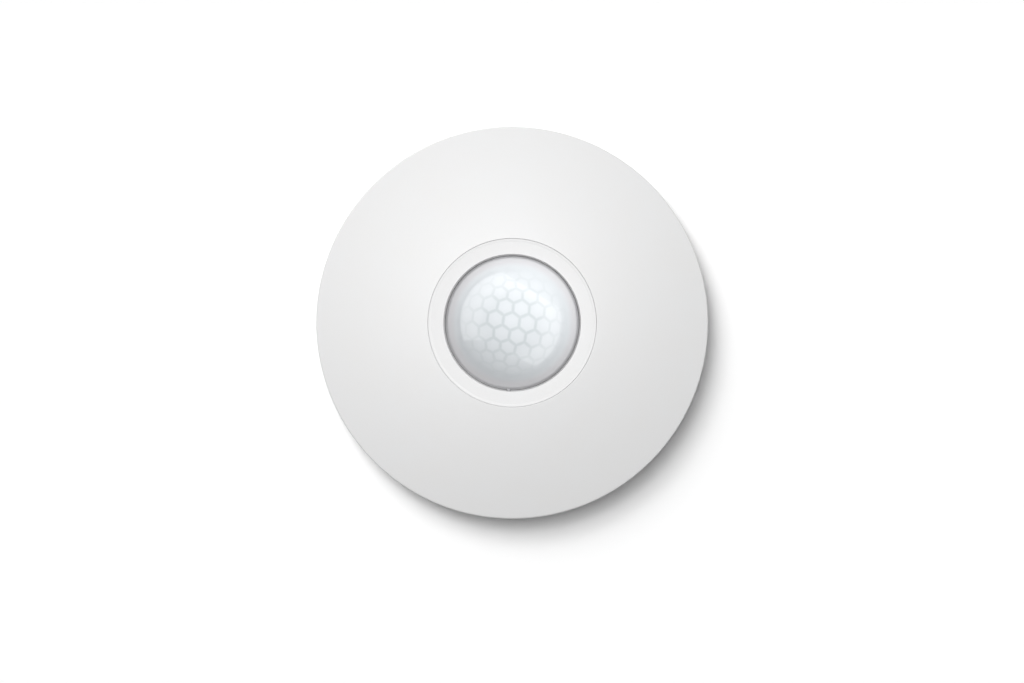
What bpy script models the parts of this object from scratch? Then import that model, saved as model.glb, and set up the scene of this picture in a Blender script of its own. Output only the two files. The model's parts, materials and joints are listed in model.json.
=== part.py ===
"""Ceiling motion sensor: passive infrared, battery powered, twist-lock head.

Units are metres. +Z points out of the lens. The back of the mounting plate,
which lies against the ceiling, is z = 0, and the axis of the dome lens is Z.
Lengths below are written in millimetres and multiplied by MM.
"""
import math

import bmesh
import bpy
from mathutils import Matrix, Vector

MM = 0.001

# ---------------------------------------------------------------- dimensions
COVER_R = 45.5            # outside radius of the front cover
COVER_WALL = 1.8
SKIRT_BOTTOM_Z = 0.8      # the skirt stops short of the ceiling
RIM_Z = 9.97              # where the rounded rim meets the cone
TOP_Z = 16.3              # flat top of the lens collar
CROWN = 0.35              # how far the cone bulges above a straight line

COLLAR_BORE_R = 15.85
COLLAR_R = 19.37
COLLAR_GAP = 0.3
COLLAR_FLANGE_R = 22.3

LENS_R = 15.6             # outside radius of the dome
LENS_WALL = 0.8
LENS_Z = 12.7             # centre of the dome's sphere
LENS_FLANGE_R = 18.6
KEY_ANGLE = 266.8         # locating rib of the lens

PLATE_R = 41.5
PLATE_T = 1.4
SLOT_PITCH_R = 30.0       # screw slots on a 60 mm spacing
SLOT_HALF_WIDTH = 1.9
SLOT_HALF_ANGLE = 7.0

FLOOR_Z0, FLOOR_Z1 = 2.0, 3.4
HOUSING_R = 43.3
HOUSING_WALL = 1.4
HOUSING_TOP_Z = 7.6

TWIST_DEG = 18.0          # bayonet travel of the head
HOOK_ANGLES = (0.0, 120.0, 240.0)
HOOK_HALF = 4.75          # half the width of a hook, degrees
HOOK_R0, HOOK_R1 = 35.2, 36.6
LIP_R0 = 33.6
LIP_Z0, LIP_Z1 = 3.75, 4.9

BOARD_R = 32.5
BOARD_Z0, BOARD_Z1 = 5.8, 6.8

CELL_X, CELL_Y = -24.5, 0.0
CELL_R = 12.25            # 24.5 mm x 5.0 mm coin cell
CELL_Z0, CELL_Z1 = 3.4, 8.4
DOOR_R = 13.9
DOOR_TWIST = 25.0

TAMPER_XY = (19.8, -19.8)
BUTTON_XY = (9.0, -23.0)
SETTINGS_XY = (12.0, 22.0)

HOUSING_SCREWS = (65.0, 155.0, 290.0)
HOUSING_SCREW_R = 39.0
BOARD_SCREWS = (45.0, 115.0, 245.0)
BOARD_SCREW_R = 28.0
RETAINER_SCREWS = (20.0, 140.0, 260.0)
RETAINER_SCREW_R = 20.4

FINE, MEDIUM, SMALL = 48, 40, 20    # sides of the round pieces


# ------------------------------------------------------------------- helpers
for old in list(bpy.data.objects):
    bpy.data.objects.remove(old, do_unlink=True)

COLLECTION = bpy.context.scene.collection


def material(name, colour, rough, metal=0.0, alpha=1.0):
    mat = bpy.data.materials.new(name)
    mat.use_nodes = True
    shader = mat.node_tree.nodes["Principled BSDF"]
    shader.inputs["Base Color"].default_value = (*colour, 1.0)
    shader.inputs["Roughness"].default_value = rough
    shader.inputs["Metallic"].default_value = metal
    shader.inputs["Alpha"].default_value = alpha
    return mat


def finish(bm, name, mat=None, cutter=False, smooth=True, origin=None):
    bmesh.ops.remove_doubles(bm, verts=bm.verts, dist=1e-6)
    bmesh.ops.recalc_face_normals(bm, faces=bm.faces)
    if origin is not None:
        bmesh.ops.translate(bm, verts=bm.verts, vec=-Vector(origin) * MM)
    mesh = bpy.data.meshes.new(name)
    bm.to_mesh(mesh)
    bm.free()
    if smooth:
        mesh.shade_smooth()
        mesh.set_sharp_from_angle(angle=math.radians(32))
    obj = bpy.data.objects.new(name, mesh)
    if origin is not None:
        obj.location = Vector(origin) * MM
    if mat is not None:
        mesh.materials.append(mat)
    if cutter:
        obj.hide_render = True
        obj.display_type = "WIRE"
    COLLECTION.objects.link(obj)
    return obj


def spin_edges(bm, points, closed, angle, steps, centre=(0.0, 0.0)):
    """Sweep a profile of (r, z) points about the vertical line at centre."""
    verts = [bm.verts.new(((centre[0] + r) * MM, centre[1] * MM, z * MM)) for r, z in points]
    pairs = list(zip(verts, verts[1:]))
    if closed:
        pairs.append((verts[-1], verts[0]))
    edges = [bm.edges.new(p) for p in pairs]
    bmesh.ops.spin(bm, geom=verts + edges, cent=(centre[0] * MM, centre[1] * MM, 0.0),
                   axis=(0.0, 0.0, 1.0), angle=angle, steps=steps, use_merge=False,
                   use_duplicate=False)


def turned(name, points, steps, mat=None, closed=True, centre=(0.0, 0.0), cutter=False, origin=None):
    """A full turn of a profile: closed for a ring, open from axis to axis for a solid."""
    bm = bmesh.new()
    spin_edges(bm, points, closed, 2.0 * math.pi, steps, centre)
    bmesh.ops.remove_doubles(bm, verts=bm.verts, dist=1e-6)
    return finish(bm, name, mat, cutter, origin=origin)


def cylinder(name, r, z0, z1, steps=SMALL, mat=None, centre=(0.0, 0.0), cutter=False,
             chamfer=0.0, origin=None):
    c = chamfer
    if c:
        pts = [(0, z1), (r - c, z1), (r, z1 - c), (r, z0 + c), (r - c, z0), (0, z0)]
    else:
        pts = [(0, z1), (r, z1), (r, z0), (0, z0)]
    return turned(name, pts, steps, mat, closed=False, centre=centre, cutter=cutter, origin=origin)


def sector(name, points, a0, a1, steps, mat=None, centre=(0.0, 0.0), cutter=False):
    """A closed profile of (r, z) points swept from angle a0 to a1 (degrees), ends filled."""
    bm = bmesh.new()
    spin_edges(bm, points, True, math.radians(a1 - a0), steps, centre)
    bmesh.ops.remove_doubles(bm, verts=bm.verts, dist=1e-6)
    bmesh.ops.holes_fill(bm, edges=[e for e in bm.edges if e.is_boundary], sides=0)
    turn = Matrix.Rotation(math.radians(a0), 4, "Z")
    about = Matrix.Translation((centre[0] * MM, centre[1] * MM, 0.0))
    bmesh.ops.transform(bm, matrix=about @ turn @ about.inverted(), verts=bm.verts)
    return finish(bm, name, mat, cutter)


def prism(name, outline, z0, z1, mat=None, cutter=False, bevel=0.0, origin=None, smooth=False):
    """An outline of (x, y) points extruded from z0 to z1."""
    bm = bmesh.new()
    face = bm.faces.new([bm.verts.new((x * MM, y * MM, z0 * MM)) for x, y in outline])
    out = bmesh.ops.extrude_face_region(bm, geom=[face])
    verts = [g for g in out["geom"] if isinstance(g, bmesh.types.BMVert)]
    bmesh.ops.translate(bm, verts=verts, vec=(0.0, 0.0, (z1 - z0) * MM))
    if bevel:
        bmesh.ops.bevel(bm, geom=list(bm.edges), offset=bevel * MM, segments=1, affect="EDGES",
                        profile=0.5)
    return finish(bm, name, mat, cutter, smooth=smooth, origin=origin)


def box(name, x0, x1, y0, y1, z0, z1, mat=None, cutter=False, bevel=0.0, origin=None):
    return prism(name, [(x0, y0), (x1, y0), (x1, y1), (x0, y1)], z0, z1, mat, cutter, bevel, origin)


def arc_slot(name, r, half_width, a0, a1, z0, z1, steps=6, cap=5):
    """A cutter: a curved slot with round ends, centred on radius r."""
    a0, a1 = math.radians(a0), math.radians(a1)
    pts = []
    for i in range(steps + 1):
        a = a0 + (a1 - a0) * i / steps
        pts.append(((r + half_width) * math.cos(a), (r + half_width) * math.sin(a)))
    for i in range(1, cap):
        b = a1 + math.pi * i / cap
        pts.append((r * math.cos(a1) + half_width * math.cos(b), r * math.sin(a1) + half_width * math.sin(b)))
    for i in range(steps + 1):
        a = a1 + (a0 - a1) * i / steps
        pts.append(((r - half_width) * math.cos(a), (r - half_width) * math.sin(a)))
    for i in range(1, cap):
        b = a0 + math.pi + math.pi * i / cap
        pts.append((r * math.cos(a0) + half_width * math.cos(b), r * math.sin(a0) + half_width * math.sin(b)))
    return prism(name, pts, z0, z1, cutter=True)


def combine(target, other, operation):
    mod = target.modifiers.new(operation.lower() + "_" + other.name, "BOOLEAN")
    mod.operation = operation
    mod.solver = "EXACT"
    mod.object = other


def cut(target, *others):
    for other in others:
        combine(target, other, "DIFFERENCE")


def join(target, *others):
    for other in others:
        combine(target, other, "UNION")


def polar(r, deg):
    a = math.radians(deg)
    return (r * math.cos(a), r * math.sin(a))


# ----------------------------------------------------------------- materials
WHITE = material("cover_white", (0.86, 0.86, 0.85), 0.42)
WHITE_SATIN = material("collar_white", (0.88, 0.88, 0.87), 0.35)
LENS = material("lens_milky", (0.86, 0.90, 0.93), 0.16)
HOUSING_WHITE = material("housing_white", (0.80, 0.80, 0.79), 0.50)
PLATE_WHITE = material("plate_white", (0.78, 0.78, 0.77), 0.52)
DOOR_WHITE = material("door_white", (0.82, 0.82, 0.81), 0.45)
FOAM = material("gasket_foam", (0.05, 0.05, 0.055), 0.90)
BLACK = material("black_plastic", (0.025, 0.025, 0.028), 0.45)
CHIP = material("chip_epoxy", (0.018, 0.018, 0.020), 0.55)
BOARD = material("board_mask", (0.02, 0.16, 0.07), 0.35)
NICKEL = material("nickel_plate", (0.72, 0.70, 0.66), 0.25, 1.0)
STEEL = material("screw_zinc", (0.62, 0.62, 0.64), 0.30, 1.0)
SPRING = material("spring_steel", (0.55, 0.55, 0.56), 0.25, 1.0)
GOLD = material("lead_gold", (0.90, 0.68, 0.28), 0.25, 1.0)
WINDOW = material("filter_silicon", (0.10, 0.10, 0.12), 0.12, 0.6)
CAN = material("capacitor_sleeve", (0.55, 0.56, 0.58), 0.30, 0.9)
FERRITE = material("ferrite", (0.10, 0.10, 0.105), 0.60)
BUTTON = material("button_grey", (0.45, 0.46, 0.47), 0.45)
SLIDER = material("slider_white", (0.90, 0.90, 0.88), 0.40)
LED = material("led_clear", (0.85, 0.86, 0.82), 0.15)
RED = material("switch_red", (0.55, 0.03, 0.03), 0.40)

# ------------------------------------------------------------ mounting plate
plate = turned("mounting_plate",
               [(0, PLATE_T), (PLATE_R - 0.3, PLATE_T), (PLATE_R, PLATE_T - 0.3), (PLATE_R, 0.3),
                (PLATE_R - 0.3, 0), (0, 0)], MEDIUM, PLATE_WHITE, closed=False)
for i, a in enumerate((90.0, 270.0)):
    cut(plate, arc_slot("plate_slot_cutter_%d" % i, SLOT_PITCH_R, SLOT_HALF_WIDTH,
                        a - SLOT_HALF_ANGLE, a + SLOT_HALF_ANGLE, -1, 3))
cut(plate, cylinder("plate_centre_cutter", 1.9, -1, 3, 16, cutter=True))
cut(plate, arc_slot("plate_pry_cutter", PLATE_R + 0.6, 1.5, 178, 182, -1, 3, steps=2))
for i, a in enumerate(HOOK_ANGLES):
    hook = sector("hook_joiner_%d" % i,
                  [(HOOK_R0, 0.6), (HOOK_R1, 0.6), (HOOK_R1, LIP_Z1 - 0.25), (HOOK_R1 - 0.25, LIP_Z1),
                   (LIP_R0 + 0.4, LIP_Z1), (LIP_R0, LIP_Z1 - 0.4), (LIP_R0, LIP_Z0), (HOOK_R0, LIP_Z0)],
                  a - HOOK_HALF, a + HOOK_HALF, 3, cutter=True)
    join(plate, hook)

# -------------------------------------------------------------- rear housing
rear = turned("rear_housing",
              [(0, FLOOR_Z1), (HOUSING_R - HOUSING_WALL, FLOOR_Z1), (HOUSING_R - HOUSING_WALL, HOUSING_TOP_Z),
               (HOUSING_R, HOUSING_TOP_Z), (HOUSING_R, FLOOR_Z0 + 0.3), (HOUSING_R - 0.3, FLOOR_Z0),
               (0, FLOOR_Z0)], MEDIUM, HOUSING_WHITE, closed=False)
for i, a in enumerate(HOUSING_SCREWS):
    c = polar(HOUSING_SCREW_R, a)
    join(rear, cylinder("screw_cup_joiner_%d" % i, 3.3, 2.6, 5.0, 20, centre=c, cutter=True))
for i, a in enumerate(BOARD_SCREWS):
    c = polar(BOARD_SCREW_R, a)
    join(rear, cylinder("board_post_joiner_%d" % i, 2.4, 2.7, 5.5, 16, centre=c, cutter=True))
for i, a in enumerate(HOUSING_SCREWS):
    c = polar(HOUSING_SCREW_R, a)
    cut(rear, cylinder("screw_cup_cutter_%d" % i, 2.5, 0, 3.8, 16, centre=c, cutter=True),
        cylinder("screw_way_cutter_%d" % i, 1.3, 0, 8, 12, centre=c, cutter=True))
for i, a in enumerate(BOARD_SCREWS):
    c = polar(BOARD_SCREW_R, a)
    cut(rear, cylinder("board_post_cutter_%d" % i, 1.2, 2.7, 8, 12, centre=c, cutter=True))
for i, a in enumerate(HOOK_ANGLES):
    play = 0.9
    track = sector("hook_track_cutter_%d" % i, [(34.8, 0), (37.0, 0), (37.0, 5.4), (34.8, 5.4)],
                   a - TWIST_DEG - HOOK_HALF - play, a + HOOK_HALF + play, 6, cutter=True)
    entry = sector("hook_entry_cutter_%d" % i, [(33.2, -0.5), (36.9, -0.5), (36.9, 5.6), (33.2, 5.6)],
                   a - TWIST_DEG - HOOK_HALF - play, a - TWIST_DEG + HOOK_HALF + play, 3, cutter=True)
    cut(rear, track, entry)
door_way = cylinder("door_way_cutter", DOOR_R + 0.3, 0, 5, 40, centre=(CELL_X, CELL_Y), cutter=True)
cut(rear, door_way)
LUG_ANGLES = (0.0, 120.0, 240.0)
LUG_HALF = 12.0
for i, a in enumerate(LUG_ANGLES):
    cut(rear, sector("door_notch_cutter_%d" % i, [(12.0, -0.5), (15.4, -0.5), (15.4, 5.5), (12.0, 5.5)],
                     a - DOOR_TWIST - LUG_HALF + 2.0 - 3.2, a - DOOR_TWIST + LUG_HALF - 2.0 + 1.2 + 2.0, 4,
                     centre=(CELL_X, CELL_Y), cutter=True))
cut(rear, cylinder("tamper_way_cutter", 1.6, 0, 5, 16, centre=TAMPER_XY, cutter=True),
    cylinder("button_way_cutter", 2.2, 0, 5, 20, centre=BUTTON_XY, cutter=True))
SX, SY = SETTINGS_XY
cut(rear, box("settings_way_cutter", SX - 4.2, SX + 4.2, SY - 3.5, SY + 3.5, 0, 5, cutter=True))

# --------------------------------------------------------------- front cover
def cone_z(r):
    """Outer surface of the cone at radius r: straight, with a slight crown."""
    t = (44.6 - r) / (44.6 - 19.95)
    return RIM_Z + (TOP_Z - 0.02 - RIM_Z) * t + CROWN * 4.0 * t * (1.0 - t)


cover_profile = [(COVER_R - COVER_WALL, SKIRT_BOTTOM_Z), (COVER_R - 0.3, SKIRT_BOTTOM_Z),
                 (COVER_R, SKIRT_BOTTOM_Z + 0.3), (COVER_R, 8.95), (45.38, 9.45), (45.08, 9.78)]
cover_profile += [(r, cone_z(r)) for r in (44.6, 36.5, 28.0, 19.95)]
cover_profile += [(COLLAR_R + COLLAR_GAP, TOP_Z - 0.22), (COLLAR_R + COLLAR_GAP, 14.5),
                  (COLLAR_FLANGE_R + 0.3, 14.5)]
cover_profile += [(r, cone_z(r + 0.4) - COVER_WALL) for r in (26.0, 42.8)]
cover_profile += [(COVER_R - COVER_WALL, 7.7)]
cover = turned("front_cover", cover_profile, FINE, WHITE)
for i, a in enumerate(HOUSING_SCREWS):
    c = polar(HOUSING_SCREW_R, a)
    join(cover, cylinder("cover_boss_joiner_%d" % i, 2.6, 5.3, 10.4, 20, centre=c, cutter=True))
for i, a in enumerate(HOUSING_SCREWS):
    c = polar(HOUSING_SCREW_R, a)
    cut(cover, cylinder("cover_boss_cutter_%d" % i, 1.3, 4, 9.4, 12, centre=c, cutter=True))

# ---------------------------------------------------------------- lens group
collar = turned("lens_collar",
                [(COLLAR_BORE_R, 13.0), (COLLAR_BORE_R, TOP_Z - 0.25), (COLLAR_BORE_R + 0.25, TOP_Z),
                 (COLLAR_R - 0.2, TOP_Z), (COLLAR_R, TOP_Z - 0.2), (COLLAR_R, 14.2), (COLLAR_FLANGE_R, 14.2),
                 (COLLAR_FLANGE_R, 12.9), (21.9, 12.5), (21.9, 10.6), (18.9, 10.6), (18.9, 13.0)],
                MEDIUM, WHITE_SATIN)
for i, a in enumerate(RETAINER_SCREWS):
    cut(collar, cylinder("collar_hole_cutter_%d" % i, 1.0, 9, 12.6, 12,
                         centre=polar(RETAINER_SCREW_R, a), cutter=True))

outer_arc = [(LENS_R * math.sin(math.radians(b)), LENS_Z + LENS_R * math.cos(math.radians(b)))
             for b in (0, 15, 30, 44, 57, 69, 80, 90)]
inner = LENS_R - LENS_WALL
inner_arc = [(inner * math.sin(math.radians(b)), LENS_Z + inner * math.cos(math.radians(b)))
             for b in (90, 76, 61, 45, 30, 15, 0)]
dome = turned("dome_lens",
              outer_arc + [(LENS_FLANGE_R, LENS_Z), (LENS_FLANGE_R, LENS_Z - 1.0), (inner, LENS_Z - 1.0)] + inner_arc,
              MEDIUM, LENS, closed=False)
key = box("lens_key_joiner", 15.0, 15.68, -0.35, 0.35, 12.3, 15.8, cutter=True)
key.rotation_euler = (0.0, 0.0, math.radians(KEY_ANGLE))
join(dome, key)

turned("lens_gasket", [(15.9, 10.65), (15.9, 11.4), (18.5, 11.4), (18.5, 10.65)], MEDIUM, FOAM)

retainer = turned("lens_retainer",
                  [(15.3, 9.1), (15.3, 10.3), (21.9, 10.3), (21.9, 9.4), (21.6, 9.1)], MEDIUM, WHITE_SATIN)
for i, a in enumerate(RETAINER_SCREWS):
    cut(retainer, cylinder("retainer_hole_cutter_%d" % i, 1.0, 8, 12, 12,
                           centre=polar(RETAINER_SCREW_R, a), cutter=True))


# -------------------------------------------------------------------- screws
def pan_screw(name, centre, head_r, head_z, shank_r, shank_z, up):
    """A pan-head screw with a cross recess. head_z is the bearing face of the head.

    up is +1 when the shank points up and the head hangs below the bearing face.
    """
    s = -up
    top = 1.15 * head_r / 1.9
    pts = [(0, head_z + s * top), (head_r * 0.7, head_z + s * top), (head_r, head_z + s * top * 0.45),
           (head_r, head_z), (shank_r, head_z), (shank_r, shank_z + s * 0.5), (0, shank_z)]
    screw = turned(name, pts, 12, STEEL, closed=False, centre=centre)
    w, l = head_r * 0.14, head_r * 0.62
    x, y = centre
    zt = head_z + s * top
    z0, z1 = sorted((zt - s * top * 0.55, zt + s * 1.0))
    outline = [(l, -w), (l, w), (w, w), (w, l), (-w, l), (-w, w), (-l, w), (-l, -w), (-w, -w), (-w, -l), (w, -l), (w, -w)]
    cut(screw, prism(name + "_recess_cutter", [(x + p, y + q) for p, q in outline], z0, z1, cutter=True))
    return screw


for i, a in enumerate(RETAINER_SCREWS):
    pan_screw("retainer_screw_%d" % (i + 1), polar(RETAINER_SCREW_R, a), 1.6, 8.8, 0.7, 12.3, 1)
for i, a in enumerate(HOUSING_SCREWS):
    pan_screw("housing_screw_%d" % (i + 1), polar(HOUSING_SCREW_R, a), 2.1, 3.5, 1.0, 9.1, 1)
for i, a in enumerate(BOARD_SCREWS):
    pan_screw("board_screw_%d" % (i + 1), polar(BOARD_SCREW_R, a), 1.9, 7.1, 0.9, 3.0, -1)

# ------------------------------------------------------------- circuit board
board = cylinder("circuit_board", BOARD_R, BOARD_Z0, BOARD_Z1, MEDIUM, BOARD)
cut(board, cylinder("board_cell_cutter", CELL_R + 0.75, 5, 8, 40, centre=(CELL_X, CELL_Y), cutter=True),
    cylinder("board_tamper_cutter", 1.5, 5, 8, 12, centre=TAMPER_XY, cutter=True),
    box("board_clip_cutter", -13.0, -10.3, -2.8, 2.8, 5, 8, cutter=True))
for i, a in enumerate(BOARD_SCREWS):
    cut(board, cylinder("board_hole_cutter_%d" % i, 1.4, 5, 8, 12, centre=polar(BOARD_SCREW_R, a), cutter=True))
LEAD_ANGLES = (45.0, 180.0, 315.0)
LEAD_R = 2.54
for i, a in enumerate(LEAD_ANGLES):
    cut(board, cylinder("board_lead_cutter_%d" % i, 0.55, 5, 8, 8, centre=polar(LEAD_R, a), cutter=True))

# ----------------------------------------------------------- infrared sensor
spacer = cylinder("sensor_spacer", 5.0, 7.1, 8.3, SMALL, BLACK, chamfer=0.2)
for i, a in enumerate(LEAD_ANGLES):
    cut(spacer, cylinder("spacer_lead_cutter_%d" % i, 0.55, 6, 10, 8, centre=polar(LEAD_R, a), cutter=True))
can = turned("sensor_can", [(0, 12.9), (3.85, 12.9), (4.1, 12.65), (4.1, 9.05), (4.6, 9.0), (4.6, 8.6), (0, 8.6)],
             32, NICKEL, closed=False)
tab = box("sensor_tab_joiner", -0.45, 0.45, 3.9, 5.3, 8.6 + 0.01, 8.97, cutter=True)
tab.rotation_euler = (0.0, 0.0, math.radians(-90.0))
join(can, tab)
cut(can, box("sensor_recess_cutter", -2.3, 2.3, -1.8, 1.8, 12.35, 14, cutter=True))
box("sensor_window", -2.0, 2.0, -1.5, 1.5, 12.65, 12.85, WINDOW)
for i, a in enumerate(LEAD_ANGLES):
    cylinder("sensor_lead_%d" % (i + 1), 0.23, 4.9, 8.3, 8, GOLD, centre=polar(LEAD_R, a))

# ---------------------------------------------------------- battery and door
CX, CY = CELL_X, CELL_Y
turned("coin_cell",
       [(0, CELL_Z1), (10.5, CELL_Z1), (10.8, CELL_Z1 - 0.2), (10.8, CELL_Z1 - 0.6), (11.9, CELL_Z1 - 0.75),
        (CELL_R, CELL_Z1 - 1.1), (CELL_R, CELL_Z0 + 0.45), (11.95, CELL_Z0 + 0.1), (11.2, CELL_Z0), (0, CELL_Z0)],
       36, NICKEL, closed=False, centre=(CX, CY))


def strip_contact(name, path, half_width, thick, mat, place):
    """A bent metal strip: path is (u, z) points, place maps (u, v, z) to a world point."""
    bm = bmesh.new()
    n = len(path)
    left, right = [], []
    for i in range(n):
        a = Vector(path[max(i - 1, 0)])
        b = Vector(path[min(i + 1, n - 1)])
        here = Vector(path[i])
        if 0 < i < n - 1:
            d0 = (here - a).normalized()
            d1 = (b - here).normalized()
            nrm = (Vector((-d0.y, d0.x)) + Vector((-d1.y, d1.x)))
            nrm.normalize()
            k = thick / 2.0 / max(nrm.dot(Vector((-d0.y, d0.x))), 0.5)
        else:
            d = (b - a).normalized()
            nrm = Vector((-d.y, d.x))
            k = thick / 2.0
        left.append(here + nrm * k)
        right.append(here - nrm * k)
    ring = left + right[::-1]
    face = bm.faces.new([bm.verts.new(Vector(place(p.x, -half_width, p.y)) * MM) for p in ring])
    out = bmesh.ops.extrude_face_region(bm, geom=[face])
    verts = [g for g in out["geom"] if isinstance(g, bmesh.types.BMVert)]
    shift = Vector(place(0, half_width, 0)) - Vector(place(0, -half_width, 0))
    bmesh.ops.translate(bm, verts=verts, vec=shift * MM)
    return finish(bm, name, mat, smooth=False)


# the spring strip over the cell's cap, with its foot on the board
strip_contact("cell_contact_negative",
              [(21.0, 7.3), (17.4, 7.3), (16.2, 8.6), (14.5, 9.35), (6.0, 9.35), (1.5, 8.9), (-1.0, 8.95), (-2.6, 9.5)],
              2.4, 0.3, NICKEL, lambda u, v, z: (CX + v, u, z))
# the side clip against the cell's wall
strip_contact("cell_contact_positive",
              [(-6.2, 7.3), (-9.6, 7.3), (-10.9, 7.5), (-11.65, 6.3), (-11.7, 5.2), (-11.35, 4.6)],
              2.2, 0.3, NICKEL, lambda u, v, z: (u, v, z))

door = turned("battery_door",
              [(0, 3.1), (12.7, 3.1), (12.7, 4.5), (DOOR_R, 4.5), (DOOR_R, 2.25), (DOOR_R - 0.25, 2.0), (0, 2.0)],
              40, DOOR_WHITE, closed=False, centre=(CX, CY), origin=(CX, CY, 2.0))
for i, a in enumerate(LUG_ANGLES):
    join(door, sector("door_lug_joiner_%d" % i, [(13.3, 3.7), (15.1, 3.7), (15.1, 4.3), (13.3, 4.3)],
                      a - LUG_HALF + 2.5, a + LUG_HALF - 2.5, 3, centre=(CX, CY), cutter=True))
cut(door, box("door_coin_cutter", CX - 6.5, CX + 6.5, CY - 0.9, CY + 0.9, 1, 2.55, cutter=True))

# -------------------------------------------------------------- tamper switch
TX, TY = TAMPER_XY
tamper_body = box("tamper_switch_body", TX - 3, TX + 3, TY - 3, TY + 3, 7.1, 10.6, BLACK, bevel=0.25)
cut(tamper_body, cylinder("tamper_cavity_cutter", 2.0, 6, 10.0, 16, centre=TAMPER_XY, cutter=True))
turned("tamper_plunger",
       [(0, 7.75), (1.6, 7.75), (1.6, 7.2), (1.15, 7.2), (1.15, 2.1), (0.75, 1.7), (0, 1.7)],
       16, RED, closed=False, centre=TAMPER_XY, origin=(TX, TY, 1.7))


def coil_spring(name, centre, r, wire, z0, z1, turns, mat, sides=5, per_turn=10):
    """A compression spring: a small circle swept along a helix."""
    bm = bmesh.new()
    n = int(turns * per_turn)
    rings = []
    for i in range(n + 1):
        a = 2.0 * math.pi * i / per_turn
        t = i / n
        z = z0 + wire + (z1 - z0 - 2 * wire) * t
        ring = []
        for k in range(sides):
            b = 2.0 * math.pi * k / sides
            rr = r + wire * math.cos(b)
            ring.append(bm.verts.new(((centre[0] + rr * math.cos(a)) * MM, (centre[1] + rr * math.sin(a)) * MM,
                                      (z + wire * math.sin(b)) * MM)))
        rings.append(ring)
    for p, q in zip(rings, rings[1:]):
        for k in range(sides):
            bm.faces.new((p[k], p[(k + 1) % sides], q[(k + 1) % sides], q[k]))
    bm.faces.new(rings[0][::-1])
    bm.faces.new(rings[-1])
    return finish(bm, name, mat)


coil_spring("tamper_spring", TAMPER_XY, 1.35, 0.16, 7.85, 9.85, 3.5, SPRING)

# --------------------------------------------------- learn button and switch
BX, BY = BUTTON_XY
box("learn_switch_body", BX - 2.3, BX + 2.3, BY - 2.3, BY + 2.3, 4.75, 5.5, BLACK, bevel=0.12)
turned("learn_button",
       [(0, 4.05), (2.7, 4.05), (2.7, 3.7), (1.85, 3.7), (1.85, 2.3), (1.6, 2.05), (0, 2.05)],
       20, BUTTON, closed=False, centre=BUTTON_XY, origin=(BX, BY, 2.05))

# ---------------------------------------------------------- settings switches
settings = box("settings_switch_body", SX - 3.8, SX + 3.8, SY - 3.1, SY + 3.1, 2.9, 5.5, RED, bevel=0.15)
for i, dx in enumerate((-1.9, 1.9)):
    cut(settings, box("settings_way_%d_cutter" % i, SX + dx - 1.0, SX + dx + 1.0, SY - 2.1, SY + 2.1, 1, 4.1,
                      cutter=True))
    box("settings_slider_%d" % (i + 1), SX + dx - 0.65, SX + dx + 0.65, SY - 1.75, SY - 0.15, 2.35, 3.75, SLIDER,
        bevel=0.1, origin=(SX + dx, SY - 0.95, 3.0))

# ----------------------------------------------------------- board components
box("radio_module", 18.4, 29.6, -9.4, 1.6, 7.1, 8.75, NICKEL, bevel=0.25)
strip_contact("antenna", [(22.6, 3.4), (29.8, 3.4), (29.8, 7.4), (27.6, 10.2), (25.2, 12.0)], 1.3, 0.4, NICKEL,
              lambda u, v, z: (u, z, 8.4 + v))
box("microcontroller", 7.0, 13.6, 3.4, 10.0, 7.1, 8.0, CHIP, bevel=0.12)
box("signal_amplifier", 3.0, 8.0, -11.6, -7.7, 7.1, 8.2, CHIP, bevel=0.12)
box("crystal", 12.6, 16.0, -3.2, -1.4, 7.1, 7.9, NICKEL, bevel=0.2)
turned("reservoir_capacitor",
       [(0, 11.2), (2.2, 11.2), (2.5, 10.95), (2.5, 8.1), (2.3, 7.9), (2.5, 7.7), (2.5, 7.1), (0, 7.1)],
       20, CAN, closed=False, centre=(0.5, 26.6))
turned("power_inductor",
       [(0, 9.6), (2.6, 9.6), (2.8, 9.4), (2.8, 8.9), (2.1, 8.7), (2.1, 7.9), (2.8, 7.7), (2.8, 7.1), (0, 7.1)],
       20, FERRITE, closed=False, centre=(-2.0, -27.0))
box("status_light", -4.6, -3.0, 9.6, 10.8, 7.1, 7.9, LED, bevel=0.15)
box("light_sensor", 2.2, 4.4, 10.2, 11.8, 7.1, 8.0, BLACK, bevel=0.15)
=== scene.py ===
import json
import math

import bmesh
import bpy
from mathutils import Matrix, Quaternion, Vector

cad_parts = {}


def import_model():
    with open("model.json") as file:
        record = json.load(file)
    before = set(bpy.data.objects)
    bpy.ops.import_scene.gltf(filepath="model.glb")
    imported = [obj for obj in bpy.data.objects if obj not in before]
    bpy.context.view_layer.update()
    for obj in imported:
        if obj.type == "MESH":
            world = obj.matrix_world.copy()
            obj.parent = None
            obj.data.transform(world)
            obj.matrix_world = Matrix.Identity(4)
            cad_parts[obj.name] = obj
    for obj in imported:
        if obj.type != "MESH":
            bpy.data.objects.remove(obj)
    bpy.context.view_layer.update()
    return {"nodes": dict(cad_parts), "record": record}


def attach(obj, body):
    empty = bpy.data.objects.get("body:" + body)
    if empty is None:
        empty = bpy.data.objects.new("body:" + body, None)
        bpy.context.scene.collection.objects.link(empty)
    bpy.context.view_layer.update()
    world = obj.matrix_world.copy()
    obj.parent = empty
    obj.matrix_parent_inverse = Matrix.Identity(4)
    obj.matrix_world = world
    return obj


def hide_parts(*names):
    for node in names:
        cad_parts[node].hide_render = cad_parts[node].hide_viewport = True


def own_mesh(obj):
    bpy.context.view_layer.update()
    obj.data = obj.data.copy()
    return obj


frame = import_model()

MM = 0.001
SCENE = bpy.context.scene
COLLECTION = SCENE.collection


def polar(r, deg):
    a = math.radians(deg)
    return (r * math.cos(a), r * math.sin(a))


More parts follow.
